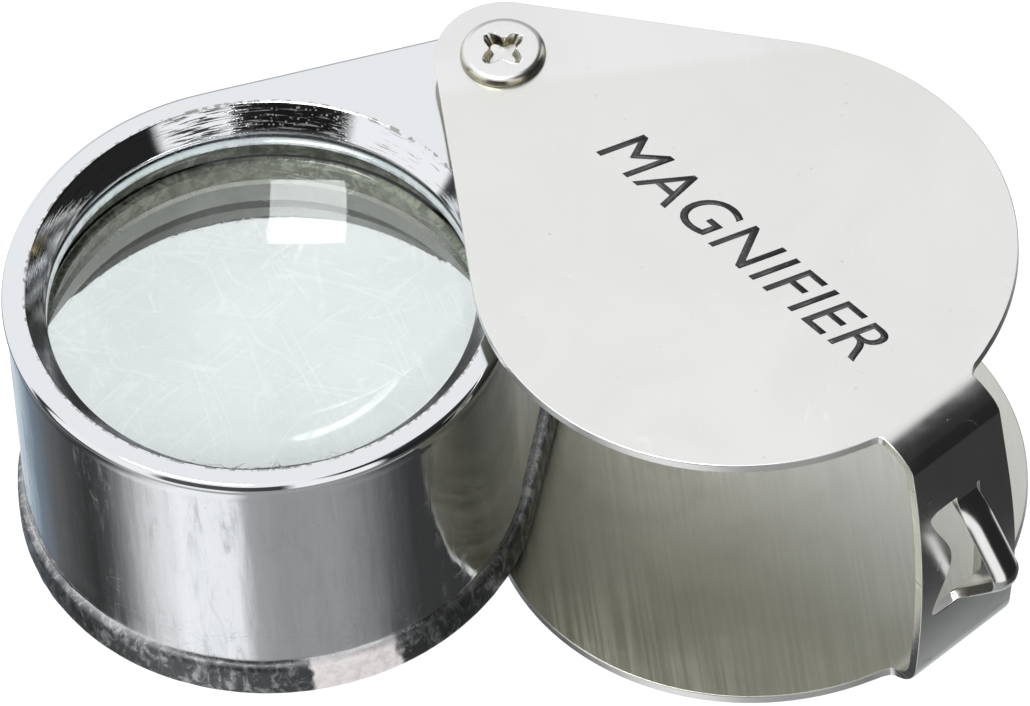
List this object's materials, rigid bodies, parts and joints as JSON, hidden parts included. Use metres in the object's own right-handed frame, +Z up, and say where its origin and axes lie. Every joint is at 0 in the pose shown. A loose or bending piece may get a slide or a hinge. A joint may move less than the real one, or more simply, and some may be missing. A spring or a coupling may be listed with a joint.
{
  "type": "folding pocket loupe",
  "caption": "Folding pocket loupe: a bent steel cover with a lanyard lug, and a chromed lens frame that swings out on a pivot screw to magnify.",
  "frame": {"origin": "centre of the cover's round end, on the underside that the loupe lies on", "axes": "+X along the cover from the pivot towards the lanyard lug, +Z up along the pivot, out of the cover's upper cheek"},
  "size_m": [0.045, 0.0412, 0.0182],
  "materials": {
    "case_cover": "satin",
    "pivot_screw": "worn nickel plate",
    "pivot_sleeve": "machined",
    "lower_washer": "satin",
    "upper_washer": "satin",
    "spring_washer": "spring temper",
    "lens_frame": "bright plate",
    "upper_lens": "polished",
    "spacer_ring": "turned",
    "lower_lens": "polished",
    "retaining_ring": "bright plate"
  },
  "bodies": {
    "cover": {"case_cover": "case_cover", "pivot_screw": "pivot_screw", "pivot_sleeve": "pivot_sleeve", "lower_washer": "lower_washer", "upper_washer": "upper_washer", "spring_washer": "spring_washer"},
    "lens": {"lens_frame": "lens_frame", "upper_lens": "upper_lens", "spacer_ring": "spacer_ring", "lower_lens": "lower_lens", "retaining_ring": "retaining_ring"}
  },
  "joints": [
    {"name": "lens_swing", "type": "hinge", "parent": "cover", "child": "lens", "pos_m": [-0.01645, 0, 0], "axis": [0, 0, 1], "continuous": true}
  ]
}
